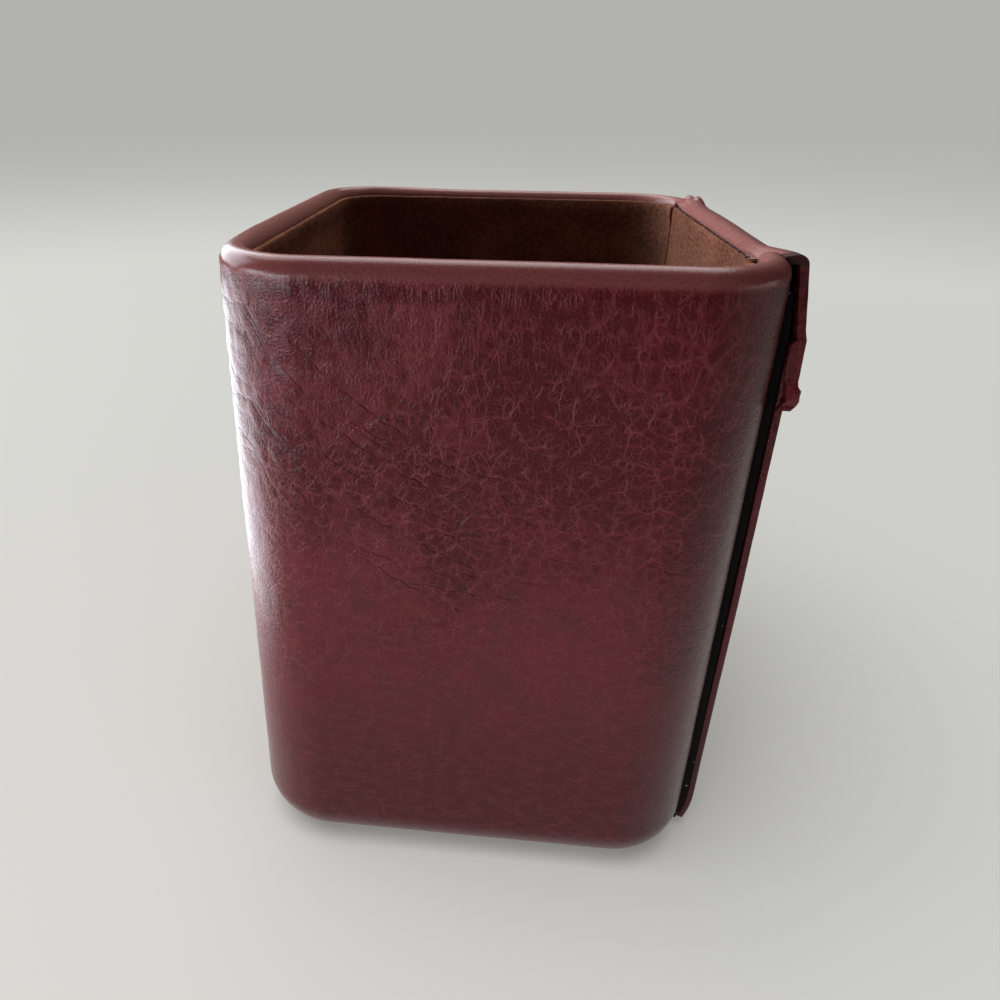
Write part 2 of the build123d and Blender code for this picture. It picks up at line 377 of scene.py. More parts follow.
def leather_pattern(add, place):
    """Grain on a sheet place in millimetres: returns the sockets that relief, bump and dye read."""
    along = add("ShaderNodeSeparateXYZ", (place,), "X")
    up = add("ShaderNodeSeparateXYZ", (place,), "Y")

    # Towards the rim the grain is drawn upright, so the height is squeezed there
    above = add(MATH, (up, 0.5, 88.0 * 0.5), **TIMES_PLUS)
    squeezed = add(MATH, (up, above, 9.0), operation="SMOOTH_MIN")
    flat = add(COMBINE, (along, squeezed))

    # Grain lines wander: the place is pushed about by up to 0.75 mm before the cells are drawn
    push = add(NOISE, {"Vector": flat, "Scale": 0.42, "Detail": 2.0, "Roughness": 0.45}, "Color", **FLAT)
    push = add(VECTOR, (push, (0.5, 0.5, 0.5)), operation="SUBTRACT")
    wander = add(VECTOR, (push, (1.5, 1.5, 0.0), flat), **TIMES_PLUS)
    sway = add(VECTOR, (push, (-1.2, 1.3, 0.0), flat), **TIMES_PLUS)
    coarse = add(CELLS, {"Vector": wander, "Scale": 1 / COARSE_CELL}, "Distance", **BORDERS)
    medium = add(CELLS, {"Vector": sway, "Scale": 1 / MEDIUM_CELL}, "Distance", **BORDERS)
    small = add(CELLS, {"Vector": wander, "Scale": 1 / SMALL_CELL}, "Distance", **BORDERS)
    tone = add(CELLS, {"Vector": sway, "Scale": 1 / MEDIUM_CELL}, "Color", voronoi_dimensions="2D")

    # The upper part of the hide is coarse and the lower part smooth, with an uneven border between
    patches = add(NOISE, {"Vector": place, "Scale": 1 / PATCH, "Detail": 2.0}, "Fac", **FLAT)
    border = add(MATH, (patches, 44.0, up), **TIMES_PLUS)
    rough_part = add(RANGE, (border, 48.0, 108.0, 0.0, 1.0), **SOFT)
    rim = add(RANGE, (up, RIM_START, RIM_FULL, 0.0, 1.0), **SOFT)
    wall = add(MATH, (1.0, rim), operation="SUBTRACT")
    rough_part = add(MATH, (rough_part, wall), **TIMES)

    # Fine upright streaks, where the skin is drawn up to the rim, further down towards the left
    drawn = add(VECTOR, (place, (1 / STREAK_GAP, 1 / LINE_RUN, 0.0)), **TIMES)
    drawn = add(VECTOR, (push, (0.9, 0.4, 0.0), drawn), **TIMES_PLUS)
    streaks = add(CELLS, {"Vector": drawn, "Scale": 1.0}, "Distance", **BORDERS)
    reach = add(RANGE, (along, 2.0, -22.0, 0.0, 9.0))
    reach = add(MATH, (reach, up), operation="ADD")
    gather = add(MATH, (patches, 16.0, reach), **TIMES_PLUS)
    gather = add(RANGE, (gather, 93.0, 106.0, 0.0, 1.0), **SOFT)
    gather = add(MATH, (gather, wall), **TIMES)

    # Long fine wrinkles lie level on the lower part
    lying = add(VECTOR, (place, (1 / LINE_RUN, 1 / WRINKLE_GAP, 0.0)), **TIMES)
    lying = add(VECTOR, (push, (0.4, 0.9, 0.0), lying), **TIMES_PLUS)
    wrinkles = add(CELLS, {"Vector": lying, "Scale": 1.0}, "Distance", **BORDERS)

    # The skin is crinkled more round the left corner, and its dye is deeper towards the right
    crinkle = add(RANGE, (along, 4.0, -28.0, 0.05, 1.0), **SOFT)
    calm = add(RANGE, (along, -42.0, -62.0, 1.0, 0.35), **SOFT)
    crinkle = add(MATH, (crinkle, calm), **TIMES)
    deeper = add(RANGE, (along, -12.0, 14.0, 0.05, 0.6), **SOFT)

    # Long creases fall steeply from the left corner, flatten to the right and fade out unevenly
    from_corner = add(MATH, (along, -34.0), operation="MAXIMUM")
    from_corner = add(MATH, (from_corner, -1 / 14, -25 / 14), **TIMES_PLUS)
    steep = add(MATH, (from_corner,), operation="EXPONENT")
    lean = add(MATH, (along, 0.15, up), **TIMES_PLUS)
    lean = add(MATH, (steep, -10.5, lean), **TIMES_PLUS)
    crease_along = add(MATH, (along, 1 / CREASE_RUN), **TIMES)
    crease_across = add(MATH, (lean, 1 / CREASE_GAP), **TIMES)
    crease_place = add(COMBINE, (crease_along, crease_across))
    crease_place = add(VECTOR, (push, (0.15, 0.32, 0.0), crease_place), **TIMES_PLUS)
    folds = add(CELLS, {"Vector": crease_place, "Scale": 1.0}, "Distance", **BORDERS)
    belly = add(MATH, (lean, 64.0), operation="SUBTRACT")
    belly = add(MATH, (belly,), operation="ABSOLUTE")
    belly = add(MATH, (patches, -30.0, belly), **TIMES_PLUS)
    belly = add(RANGE, (belly, -6.0, 6.0, 1.0, 0.0), **SOFT)
    for share in (wall, calm):
        belly = add(MATH, (belly, share), **TIMES)
    return {
        "along": along, "up": up, "coarse": coarse, "medium": medium, "small": small, "tone": tone,
        "streaks": streaks, "gather": gather, "rough_part": rough_part, "rim": rim, "folds": folds,
        "belly": belly, "crinkle": crinkle, "deeper": deeper, "wrinkles": wrinkles,
    }


def press_relief(piece, depth):
    """Raise the leather's cells, creases, slow swells and rim as real relief, depth deep."""
    tree = bpy.data.node_groups.new("leather_relief", "GeometryNodeTree")
    tree.interface.new_socket("Geometry", in_out="INPUT", socket_type="NodeSocketGeometry")
    tree.interface.new_socket("Geometry", in_out="OUTPUT", socket_type="NodeSocketGeometry")
    add = partial(add_node, tree)
    place = add("GeometryNodeInputNamedAttribute", {"Name": "sheet_place"}, data_type="FLOAT_VECTOR")
    grain = leather_pattern(add, place)

    # Cells and creases stand out where the skin is crinkled, over slow swells of the whole hide
    cell = add(RANGE, (grain["coarse"], 0.0, 0.3, -0.55, 0.55), **SOFT)
    facet = add(RANGE, (grain["medium"], 0.0, 0.4, -0.32, 0.32), **SOFT)
    cell = add(MATH, (cell, facet), operation="ADD")
    cell = add(MATH, (cell, grain["rough_part"]), **TIMES)
    fold = add(RANGE, (grain["folds"], 0.0, 0.2, -1.0, 0.0), **SOFT)
    height = add(MATH, (fold, grain["belly"], cell), **TIMES_PLUS)
    height = add(MATH, (height, grain["crinkle"]), **TIMES)
    swell = add(NOISE, {"Vector": place, "Scale": 1 / SWELL, "Detail": 1.0}, "Fac", **FLAT)
    height = add(MATH, (swell, 1.0, height), **TIMES_PLUS)
    height = add(MATH, (height, 0.5), operation="SUBTRACT")

    # A shallow groove runs under the rolled rim, and the roll is fuller along the left side
    groove = add(MATH, (grain["up"], GROOVE), operation="SUBTRACT")
    groove = add(MATH, (groove, 2.0), operation="POWER")
    groove = add(MATH, (groove, -1.4), **TIMES)
    groove = add(MATH, (groove,), operation="EXPONENT")
    height = add(MATH, (groove, -0.7, height), **TIMES_PLUS)
    roll = add(RANGE, (grain["up"], 101.5, 104.5, 0.0, 1.0), **SOFT)
    for reach, start, full in (("up", 108.0, 106.2), ("along", -150.0, -122.0), ("along", -40.0, -58.0)):
        part = add(RANGE, (grain[reach], start, full, 0.0, 1.0), **SOFT)
        roll = add(MATH, (roll, part), **TIMES)
    height = add(MATH, (roll, 5.5, height), **TIMES_PLUS)
    height = add(MATH, (height, depth), **TIMES)
    normal = add("GeometryNodeInputNormal")
    offset = add(VECTOR, {0: normal, "Scale": height}, operation="SCALE")
    shape = add("NodeGroupInput")
    shape = add("GeometryNodeSetPosition", {"Geometry": shape, "Offset": offset})
    add("NodeGroupOutput", {"Geometry": shape})
    apply_modifier(piece, "NODES", node_group=tree)
    bpy.data.node_groups.remove(tree)


def leather_material(colours):
    """Burgundy full-grain leather, drum dyed and lightly glazed: dark dye pools inside the cells of the
    grain, thin paler lines run between them, and a glaze gives a soft broken shine."""
    material, add = new_material("burgundy_full_grain_leather")
    place = add("ShaderNodeAttribute", output="Vector", attribute_name="sheet_place")
    grain = leather_pattern(add, place)

    # Lines of the grain: main lines between coarse cells, finer ones inside them, all broken up
    broken = add(NOISE, {"Vector": place, "Scale": 1 / 2.0, "Detail": 3.0}, "Fac", **FLAT)
    broken = add(RANGE, (broken, 0.36, 0.6, 0.1, 1.0))
    veins = 0.0
    for cells, width, strength in (("coarse", 0.06, 0.72), ("medium", 0.085, 0.5), ("small", 0.13, 0.38)):
        line = add(RANGE, (grain[cells], 0.0, width, strength, 0.0), **SOFT)
        veins = add(MATH, (veins, line), operation="MAXIMUM")
    fewer = add(RANGE, (grain["gather"], 0.0, 1.0, 1.0, 0.6))
    veins = add(MATH, (veins, fewer), **TIMES)
    line = add(RANGE, (grain["streaks"], 0.0, 0.13, 0.38, 0.0), **SOFT)
    line = add(MATH, (line, grain["gather"]), **TIMES)
    veins = add(MATH, (veins, line), operation="MAXIMUM")
    lined = add(RANGE, (grain["rough_part"], 0.0, 1.0, 0.4, 1.0))
    unrubbed = add(MATH, (grain["rim"], -0.75, 1.0), **TIMES_PLUS)
    for share in (broken, lined, unrubbed):
        veins = add(MATH, (veins, share), **TIMES)
    line = add(RANGE, (grain["wrinkles"], 0.0, 0.1, 0.28, 0.0), **SOFT)
    lower = add(RANGE, (grain["up"], 72.0, 50.0, 0.0, 1.0))
    for share in (lower, broken):
        line = add(MATH, (line, share), **TIMES)
    veins = add(MATH, (veins, line), operation="MAXIMUM")

    # Creases fade out in places, and towards the right
    crease = add(RANGE, (grain["folds"], 0.0, 0.05, 1.0, 0.0), **SOFT)
    fading = add(NOISE, {"Vector": place, "Scale": 1 / 6.25, "Detail": 2.0}, "Fac", **FLAT)
    fading = add(RANGE, (fading, 0.38, 0.58, 0.05, 1.0))
    leftward = add(RANGE, (grain["along"], -6.0, 18.0, 1.0, 0.35))
    for share in (grain["belly"], fading, leftward):
        crease = add(MATH, (crease, share), **TIMES)
    # The creases are darkened with painted shade
    shade = add(MATH, (crease, 0.3), **TIMES)

    # Dye: smooth parts are a mid burgundy, cells of the coarse part pool darker, some more than others
    drift = add(NOISE, {"Vector": place, "Scale": 1 / 14, "Detail": 4.0}, "Fac", **FLAT)
    depth = add(RANGE, (drift, 0.36, 0.62, 0.0, 0.75))
    depth = add(MATH, (grain["tone"], 0.6, depth), **TIMES_PLUS)
    depth = add(MATH, (depth, grain["deeper"]), operation="ADD")
    inside = add(RANGE, (grain["medium"], 0.02, 0.35, 0.7, 1.2), **SOFT)
    depth = add(MATH, (depth, inside), **TIMES)
    pooled = add(MATH, (depth, grain["rough_part"]), **TIMES, use_clamp=True)
    warmth = add(NOISE, {"Vector": place, "Scale": 1 / 31, "Detail": 3.0, "Roughness": 0.6}, "Fac",
                 **FLAT)
    mottle = add(NOISE, {"Vector": place, "Scale": 1 / 3.5, "Detail": 4.0, "Roughness": 0.7}, "Fac",
                 **FLAT)
    warmth = add(MATH, (mottle, 0.6, warmth), **TIMES_PLUS)
    warmth = add(RANGE, (warmth, 0.55, 1.15, 0.0, 0.8))
    blotch = add(NOISE, {"Vector": place, "Scale": 1 / 7, "Detail": 4.0, "Roughness": 0.6}, "Fac",
                 **FLAT)
    blotch = add(RANGE, (blotch, 0.42, 0.68, 0.0, 0.55))
    plain = add(MATH, (grain["rough_part"], -0.8, 1.0), **TIMES_PLUS)
    blotch = add(MATH, (blotch, plain), **TIMES)

    # Painted shade darkens the leather towards the foot and in a band under the rim, and the dye is rubbed
    # pale on top of the rim
    foot = add(RANGE, (grain["up"], 58.0, 10.0, 0.0, 1.0), **SOFT)
    # A band of painted shade lies under the rolled rim
    under_rim_shade = add(MATH, (grain["up"], UNDER_RIM_SHADE), operation="SUBTRACT")
    under_rim_shade = add(MATH, (under_rim_shade,), operation="ABSOLUTE")
    under_rim_shade = add(RANGE, (under_rim_shade, 0.5, 1.7, 0.9, 0.0), **SOFT)
    rubbed = add(RANGE, (grain["up"], 104.2, 107.0, 0.0, 1.0), **SOFT)

    # Fine pores of the hide dot the dye and the surface
    pores = add(NOISE, {"Vector": place, "Scale": 1 / PORE, "Detail": 2.0}, "Fac", **FLAT)
    dots = add(RANGE, (pores, 0.3, 0.52, 0.3, 0.0))

    # Each coat of dye, and each coat of painted shade, lies over the ones before it
    dye = opaque(colours.leather_mid)
    for share, coat in (
        (warmth, colours.leather_warm),
        (pooled, colours.leather_deep_and_shade),
        (blotch, colours.leather_blotch),
        (grain["rim"], colours.leather_worn),
        (foot, colours.leather_deep_and_shade),
        (under_rim_shade, colours.leather_deep_and_shade),
        (rubbed, colours.leather_rubbed),
        (veins, colours.leather_vein),
        (shade, colours.crease_shade),
        (dots, colours.leather_deep_and_shade),
    ):
        dye = add(MIX, {"Factor": share, 6: dye, 7: opaque(coat)}, 2, **BLEND)
    height = add(MATH, (veins, -0.85, pores), **TIMES_PLUS)
    height = add(MATH, (crease, -1.2, height), **TIMES_PLUS)
    height = add(MATH, (height, unrubbed), **TIMES)
    bump = add(BUMP, {"Strength": 0.7, "Distance": 0.14 * MM, "Height": height}, "Normal")
    glaze = add(RANGE, (grain["along"], -16.0, -30.0, 0.27, 0.24))
    shine = add(MATH, (veins, 0.12, glaze), **TIMES_PLUS)
    shader = add(PRINCIPLED, {"Base Color": dye, "Roughness": shine, "IOR": 1.5,
                 "Specular IOR Level": 0.16, "Coat Weight": 0.16, "Coat Roughness": 0.2, "Normal": bump})
    add(OUTPUT, {"Surface": shader})
    return material


def fibrous_material(name, fibres, span, dark, pale, relief, surface):
    """Material of short fibres: one noise mixes a dark and a pale dye and raises the surface."""
    material, add = new_material(name)
    place = add(COORD, output="Object")
    fibres = add(NOISE, {"Vector": place, **fibres}, "Fac")
    share = add(RANGE, (fibres, *span))
    dye = add(MIX, {"Factor": share, 6: opaque(dark), 7: opaque(pale)}, 2, **BLEND)
    bump = add(BUMP, {"Height": fibres, **relief}, "Normal")
    shader = add(PRINCIPLED, {"Base Color": dye, "Normal": bump, **surface})
    add(OUTPUT, {"Surface": shader})
    return material


def edge_and_shade_material(colours):
    """Cut edge of the leather, dyed dark by hand: uneven dye, dull, with the fibres showing through. On
    the saddle it also serves as painted shade.
    """
    return fibrous_material(
        "dyed_edge_and_painted_shade",
        {"Scale": 1 / (0.7 * MM), "Detail": 4.0, "Roughness": 0.7},
        (0.0, 1.0, 0.0, 1.0),
        colours.edge_dye_and_shade,
        colours.edge_pale,
        {"Strength": 0.5, "Distance": 0.2 * MM},
        {"Roughness": 0.55, "Specular IOR Level": 0.12},
    )


def felt_material(colours):
    """Pressed wool felt: short tangled fibres, quite matt, with paler hairs among the dark ones."""
    return fibrous_material(
        "dark_wool_felt",
        {"Scale": 1 / (0.8 * MM), "Detail": 4.0, "Roughness": 0.75, "Distortion": 1.5},
        (0.45, 0.75, 0.0, 0.7),
        colours.felt,
        colours.felt_pale,
        {"Strength": 0.8, "Distance": 0.3 * MM},
        {"Roughness": 1.0, "Specular IOR Level": 0.15, "Sheen Weight": 0.3},
    )


def fibreboard_material(colours):
    """Moulded fibreboard: matt brown, flecked with short fibres and slightly dished by the mould."""
    return fibrous_material(
        "pressed_wood_fibreboard",
        {"Scale": 1 / (1.2 * MM), "Detail": 5.0, "Roughness": 0.7, "Distortion": 0.8},
        (0.0, 1.0, 0.0, 1.0),
        colours.fibre_dark,
        colours.fibre,
        {"Strength": 0.4, "Distance": 0.2 * MM},
        {"Roughness": 0.85},
    )


def suede_material(colours):
    """Brown suede, buffed: a short nap that lies in brushed patches and lightens at a glancing angle."""
    material, add = new_material("brown_napped_suede")
    place = add(COORD, output="Object")

    # The nap is brushed in patches about 7.7 mm across, and its tufts are 0.6 mm
    combed = add("ShaderNodeMapping", {"Vector": place, "Scale": (1.0, 0.4, 1.0)})
    brushed = add(NOISE, {"Vector": combed, "Scale": 130.0, "Detail": 3.0, "Roughness": 0.6}, "Fac")
    nap = add(NOISE, {"Vector": combed, "Scale": 1 / (0.6 * MM), "Detail": 3.0, "Roughness": 0.8}, "Fac")
    lay = add(MATH, (nap, 2.0, brushed), **TIMES_PLUS)
    lay = add(RANGE, (lay, 1.1, 1.9, 0.0, 1.0))
    dye = add(MIX, {"Factor": lay, 6: opaque(colours.suede_dark), 7: opaque(colours.suede_brown)}, 2,
              **BLEND)
    bump = add(BUMP, {"Strength": 0.6, "Distance": 0.25 * MM, "Height": nap}, "Normal")
    shader = add(PRINCIPLED, {"Base Color": dye, "Roughness": 0.95, "IOR": 1.45,
                 "Specular IOR Level": 0.0, "Sheen Weight": 0.05, "Sheen Roughness": 0.4,
                 "Sheen Tint": opaque(colours.suede_sheen), "Normal": bump})
    add(OUTPUT, {"Surface": shader})
    return material


def black_board_material(colours):
    """Black-dyed pressed board: thin layers run along its cut edge, with a few specks of dried glue."""
    material, add = new_material("black_dyed_board")
    place = add(COORD, output="Object")

    # Layers are about 0.1 mm thick and streaked about 1.1 mm long
    layers = add("ShaderNodeMapping", {"Vector": place, "Scale": (9000.0, 900.0, 900.0)})
    layers = add(NOISE, {"Vector": layers, "Scale": 1.0, "Detail": 3.0}, "Fac")
    specks = add(CELLS, {"Vector": place, "Scale": 1 / (1.6 * MM)}, "Distance")
    chance = add(NOISE, {"Vector": place, "Scale": 1 / (5 * MM), "Detail": 2.0}, "Fac")
    chance = add(RANGE, (chance, 0.44, 0.62, 0.0, 0.2))
    specks = add(MATH, (specks, chance), operation="LESS_THAN")
    dye = add(MIX, {"Factor": layers, 6: opaque(colours.board_deep), 7: opaque(colours.board)}, 2,
              **BLEND)
    dye = add(MIX, {"Factor": specks, 6: dye, 7: opaque(colours.glue)}, 2, **BLEND)
    height = add(MATH, (layers, specks), operation="ADD")
    bump = add(BUMP, {"Strength": 0.5, "Distance": 0.12 * MM, "Height": height}, "Normal")
    shader = add(PRINCIPLED, {"Base Color": dye, "Roughness": 0.72, "Specular IOR Level": 0.12,
                 "Normal": bump})
    add(OUTPUT, {"Surface": shader})
    return material


def dress_leather(piece, place, depth, node):
    """Map a leather piece to its sheet, press its relief and give it the leather's finish."""
    map_sheet(piece, place)
    press_relief(piece, depth)
    leather = make_material("burgundy_full_grain_leather", leather_material)
    finish_piece(piece, leather, "burgundy_leather", node)


def finish_piece(piece, material, slot, *nodes):
    """Give a modelled piece its finish and its body, and hide the CAD nodes that it stands for; the slot
    is not used.
    """
    piece.data.materials.clear()
    piece.data.materials.append(material)
    bpy.ops.object.shade_smooth_by_angle(angle=math.radians(40))
    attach(piece, "root")
    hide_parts(*nodes)


def make_material(key, builder):
    """The material of that name, built once."""
    return bpy.data.materials.get(key) or builder(bpy.context.scene.cup_colours)


class CUP_OT_cover(bpy.types.Operator):
    """Model the leather skin: walls, rolled rim, hem and turned-under foot, open at the closed side"""

    bl_idname = "cup.cover"
    bl_label = "Leather Cover"

    def execute(self, context):
        sizes = context.scene.cup_sizes
        low, high = SKIN_LOW, SKIN_HIGH
        step = sizes.mesh_step
        corner_steps = round(sizes.corner_radius * math.pi / 2 / step)
        piece = start_block("leather_cover", low, high)

        choose(piece, "EDGE", lambda edge: edge_run(edge, 2) > TINY)
        bpy.ops.mesh.bevel(offset=sizes.corner_radius, segments=corner_steps, affect="EDGES")
        choose(piece, "FACE", lambda face: face.normal.z > 0.9)
        bpy.ops.mesh.inset(thickness=sizes.rim_width)
        bpy.ops.mesh.delete(type="FACE")
        choose(piece, "EDGE", lambda edge: edge.is_boundary)
        extrude_by((0, 0, -sizes.hem_depth))

        def depth_at(vert):
            """Depth of a corner of the mesh in from the outline."""
            return plan_place(vert.co.x, vert.co.y, sizes)[1]

        def level_edge(edge, z, outside):
            """Whether an edge lies at z, on the outside or the inside of the rim."""
            middle = sizes.rim_width / 2
            return all(abs(v.co.z - z) < TINY and (depth_at(v) < middle) == outside for v in edge.verts)

        choose(piece, "EDGE", lambda edge: level_edge(edge, high.z, True))
        bpy.ops.mesh.bevel(offset=sizes.rim_radius, segments=6, affect="EDGES")
        choose(piece, "EDGE", lambda edge: level_edge(edge, high.z, False)
               and all(depth_at(v) > sizes.rim_width - TINY for v in edge.verts))
        bpy.ops.mesh.bevel(offset=sizes.rim_inner_radius, segments=4, affect="EDGES")
        choose(piece, "EDGE", lambda edge: level_edge(edge, low.z, True))
        bpy.ops.mesh.bevel(offset=sizes.foot_radius, segments=14, affect="EDGES")

        choose(piece, "FACE", lambda face: face.normal.z < -0.9 and len(face.verts) > 4)
        extrude_by((0, 0, 0))
        flat_x = high.x - sizes.foot_radius
        flat_y = high.y - sizes.foot_radius
        narrow = ((high.x - sizes.turn_under) / flat_x, (high.y - sizes.turn_under) / flat_y, 1)
        bpy.ops.transform.resize(value=narrow, center_override=(0, 0, low.z))
        bpy.ops.mesh.delete(type="FACE")

        bpy.ops.mesh.select_all(action="SELECT")
        bpy.ops.mesh.bisect(plane_co=(0, 0, sizes.sill), plane_no=(0, 0, 1))
        for side in (-1, 1):
            choose(piece, "FACE", lambda face: face.calc_center_median().x > 0
                   and max(edge_run(edge, 1) for edge in face.edges) > sizes.opening_half)
            bpy.ops.mesh.bisect(plane_co=(0, side * sizes.opening_half, 0), plane_no=(0, 1, 0))
        choose(piece, "FACE", lambda face: face.calc_center_median().z > sizes.sill
               and face.calc_center_median().x > 0 and abs(face.calc_center_median().y) < MM)
        bpy.ops.mesh.delete(type="FACE")
        bpy.ops.object.mode_set(mode="OBJECT")

        # The walls and foot are full leather, and the hem inside the mouth is skived to half of it
        thick = piece.vertex_groups.new(name="full_thickness")
        piece.vertex_groups.new(name="flesh_side")
        hem_z = high.z - sizes.rim_width
        body = [v.index for v in piece.data.vertices
                if v.co.z < hem_z or plan_place(v.co.x, v.co.y, sizes)[1] < sizes.rim_radius]
        thick.add([v for v in body if piece.data.vertices[v].co.z > low.z - MM], 1.0, "REPLACE")
        hem = [v.index for v in piece.data.vertices
               if v.co.z > high.z - sizes.hem_depth - MM
               and plan_place(v.co.x, v.co.y, sizes)[1] > sizes.rim_width - TINY]
        thick.remove(hem)
        apply_modifier(piece, "SOLIDIFY", thickness=sizes.leather, offset=-1.0, vertex_group=thick.name,
                       thickness_vertex_group=0.5, shell_vertex_group="flesh_side")

        bpy.ops.object.mode_set(mode="EDIT")
        flesh = piece.vertex_groups["flesh_side"].index

        def cut(parts, axis, shortest, longest):
            """Cut the edges of the grain side that run so far along an axis into parts."""
            mesh = bmesh.from_edit_mesh(piece.data)
            layer = mesh.verts.layers.deform.verify()
            choose(piece, "EDGE", lambda edge: shortest < edge_run(edge, axis) < longest
                   and all(vert[layer].get(flesh, 0) < 0.5 for vert in edge.verts))
            bpy.ops.mesh.subdivide(number_cuts=parts - 1)

        # The walls are cut into level bands and then, like the corners, about a step apart
        wall_height = high.z - sizes.rim_radius - sizes.sill
        bands = 12
        cut(bands, 2, 50 * MM, 120 * MM)
        cut(round(wall_height / bands / step), 2, 5 * MM, 9.3 * MM)
        cut(round(2 * (high.x - sizes.corner_radius) / step), 0, 40 * MM, 120 * MM)
        cut(round(2 * (high.y - sizes.corner_radius) / step), 1, 55 * MM, 120 * MM)
        bpy.ops.object.mode_set(mode="OBJECT")
        piece.vertex_groups.clear()

        def place(point):
            """Place on the flat sheet, in millimetres."""
            run, depth = plan_place(point.x, point.y, sizes)
            return Vector((run, skin_height(depth, point.z, sizes), 0)) / MM

        dress_leather(piece, place, depth=0.08 * MM, node="outer_leather")
        return {"FINISHED"}


class CUP_OT_linings(bpy.types.Operator):
    """Model the suede on the three walls, on the closed side and on the floor"""

    bl_idname = "cup.linings"
    bl_label = "Suede Linings"

    def execute(self, context):
        sizes = context.scene.cup_sizes
        suede = make_material("brown_napped_suede", suede_material)
        grid = 1.3 * MM
        lump = 5 * MM
        corner_segments = 14
        low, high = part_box("wall_lining")
        face = Vector((SKIN_HIGH.x - sizes.lining_inset, SKIN_HIGH.y - sizes.lining_inset, high.z))
        corner = Vector((-face.x, -face.y, low.z))
        piece = start_block("wall_suede", corner, face)
        choose(piece, "EDGE", lambda edge: edge_run(edge, 2) > TINY)
        wall_round = sizes.corner_radius - sizes.lining_inset
        bpy.ops.mesh.bevel(offset=wall_round, segments=corner_segments, affect="EDGES")
        choose(piece, "FACE", lambda f: abs(f.normal.z) > 0.9)
        bpy.ops.mesh.delete(type="FACE")
        slice_grid(corner, face, grid, (0, 1, 2))
        opened = 0.3 * MM
        slit_y = sizes.opening_half + sizes.lining_slit + opened
        for side in (-1, 1):
            bpy.ops.mesh.select_all(action="SELECT")
            bpy.ops.mesh.bisect(plane_co=(0, side * slit_y, 0), plane_no=(0, 1, 0))
        choose(piece, "FACE", lambda f: f.calc_center_median().x > face.x - TINY
               and abs(f.calc_center_median().y) < slit_y)
        bpy.ops.mesh.delete(type="FACE")

        # The suede is folded at the top, so it swells a little towards the mouth there
        mesh = bmesh.from_edit_mesh(piece.data)
        for vert in mesh.verts:
            swell = smooth_step(vert.co.z, face.z - 4.0 * MM, face.z - 1.5 * MM)
            vert.co -= vert.normal * swell * 0.45 * MM
        bmesh.update_edit_mesh(piece.data)
        bpy.ops.object.mode_set(mode="OBJECT")
        apply_modifier(piece, "SOLIDIFY", thickness=sizes.suede, offset=1.0)
        bpy.ops.object.mode_set(mode="EDIT")
        choose(piece, "EDGE", lambda edge: all(v.co.z > face.z - TINY for v in edge.verts)
               and abs(edge.calc_face_angle(0)) > 1.0)
        bpy.ops.mesh.bevel(offset=sizes.fold, segments=3, affect="EDGES")
        bpy.ops.object.mode_set(mode="OBJECT")
        roughen(piece, lump, 0.2 * MM)
        finish_piece(piece, suede, "brown_suede", "wall_lining")

        low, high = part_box("panel_lining")
        piece = start_block("panel_suede", low, high)
        bpy.ops.mesh.select_all(action="SELECT")
        bpy.ops.mesh.bevel(offset=0.2 * MM, segments=2, affect="EDGES")
        slice_grid(low, high, grid, (1, 2))
        bpy.ops.object.mode_set(mode="OBJECT")
        roughen(piece, lump, 0.15 * MM)
        finish_piece(piece, suede, "brown_suede", "panel_lining")

        low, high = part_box("floor_lining")
        piece = start_block("floor_suede", low, high)
        choose(piece, "EDGE", lambda edge: edge_run(edge, 2) > TINY)
        floor_round = sizes.corner_radius - (SKIN_HIGH.x - high.x)
        bpy.ops.mesh.bevel(offset=floor_round, segments=corner_segments, affect="EDGES")
        slice_grid(low, high, 2 * MM, (0, 1))
        bpy.ops.object.mode_set(mode="OBJECT")
        roughen(piece, 6 * MM, 0.15 * MM)
        finish_piece(piece, suede, "brown_suede", "floor_lining")
        return {"FINISHED"}


class CUP_OT_strip(bpy.types.Operator):
    """Model the leather facing of the strip over the joins, bent in at its foot"""

    bl_idname = "cup.strip"
    bl_label = "Strip Facing"

    def execute(self, context):
        sizes = context.scene.cup_sizes
        low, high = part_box("seam_facing")
        step = 0.8 * MM
        bend_z = SKIN_LOW.z + sizes.foot_radius
        centre_x = high.x - sizes.strip_bend
        turn = math.asin((bend_z - low.z) / sizes.strip_bend)
        bend_parts = 8
        angles = [turn * i / bend_parts for i in range(bend_parts + 1)]
        section = [(high.x, high.z)]
        section += [(centre_x + sizes.strip_bend * math.cos(a), bend_z - sizes.strip_bend * math.sin(a))
                    for a in angles]
        piece = start_edge("strip_facing", high.x, high.z, high.y, round(2 * high.y / step))
        draw_section(section)
        choose(piece, "EDGE", lambda edge: edge_run(edge, 2) > 10 * MM)
        bpy.ops.mesh.subdivide(number_cuts=min(100, round((high.z - bend_z) / step)))
        face_out(piece)

        # The facing bows out a little above its foot
        bow = 0.25 * MM
        mesh = bmesh.from_edit_mesh(piece.data)
        for vert in mesh.verts:
            vert.co.x += bow * smooth_step(vert.co.z, 15 * MM, 55 * MM)
        bmesh.update_edit_mesh(piece.data)
        bpy.ops.object.mode_set(mode="OBJECT")
        skived = 0.05 * MM
        apply_modifier(piece, "SOLIDIFY", thickness=sizes.leather - skived, offset=-1.0)
        apply_modifier(piece, "BEVEL", width=0.15 * MM, segments=2, limit_method="ANGLE")

        def place(point):
            """Place on a plain part of the flat sheet, in millimetres, turned along the edges too."""
            return Vector((point.x + point.y - 0.1, point.z - 2 * MM, 0)) / MM

        dress_leather(piece, place, depth=0.06 * MM, node="seam_facing")
        return {"FINISHED"}


